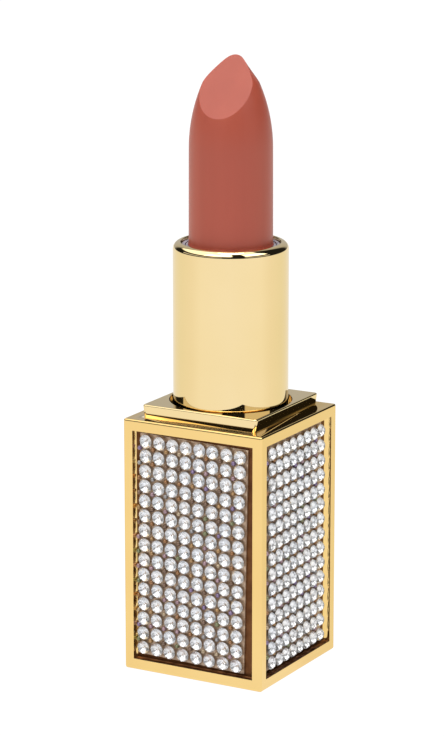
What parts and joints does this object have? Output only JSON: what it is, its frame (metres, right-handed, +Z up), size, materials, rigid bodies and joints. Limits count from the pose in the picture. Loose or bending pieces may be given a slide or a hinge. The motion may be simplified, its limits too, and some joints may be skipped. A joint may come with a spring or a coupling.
{
  "type": "lipstick case",
  "caption": "Square gold lipstick case with crystal-studded recessed panels, a round turning sleeve and a twist-up bullet.",
  "frame": {"origin": "centre of the base case's bottom face, on the surface the case stands on", "axes": "+Z up along the sleeve and bullet, -Y out of the front crystal panel, +X out of the right crystal panel"},
  "size_m": [0.0228, 0.0228, 0.0889],
  "materials": {
    "polished_gold": "mirror-polished gold metallising",
    "black_plastic": "fine matte",
    "label_paper": "satin paper label, blank",
    "white_plastic": "moulded, smooth",
    "steel": "turned",
    "grey_plastic": "satin, lilac grey",
    "lipstick": "waxy satin",
    "crystal_backing": "metallised golden-brown mesh sheet",
    "crystal": "foil-backed faceted glass",
    "bead": "small amber resin beads"
  },
  "bodies": {
    "base": {"base_case": "polished_gold", "shoulder_collar": "polished_gold", "bottom_plate": "black_plastic", "brake_ring": "black_plastic", "shade_label": "label_paper", "core_holder": "white_plastic", "ballast_weight": "steel", "inner_body": "grey_plastic", "backing_front": "crystal_backing", "crystals_front": "crystal", "beads_front": "bead", "backing_right": "crystal_backing", "crystals_right": "crystal", "beads_right": "bead", "backing_back": "crystal_backing", "crystals_back": "crystal", "beads_back": "bead", "backing_left": "crystal_backing", "crystals_left": "crystal", "beads_left": "bead"},
    "sleeve": {"a_shell": "polished_gold", "cam_sleeve": "white_plastic"},
    "carrier": {"cup": "grey_plastic", "bullet": "lipstick"}
  },
  "joints": [
    {"name": "sleeve_twist", "type": "hinge", "parent": "base", "child": "sleeve", "pos_m": [0, 0, 0.05], "axis": [0, 0, 1], "range_deg": [-540, 0]},
    {"name": "bullet_lift", "type": "slide", "parent": "base", "child": "carrier", "axis": [0, 0, 1], "range_m": [-0.028, 0]}
  ],
  "couplings": [
    {"joint": "sleeve_twist", "follows": "bullet_lift", "rad_per_m": 336.6}
  ]
}
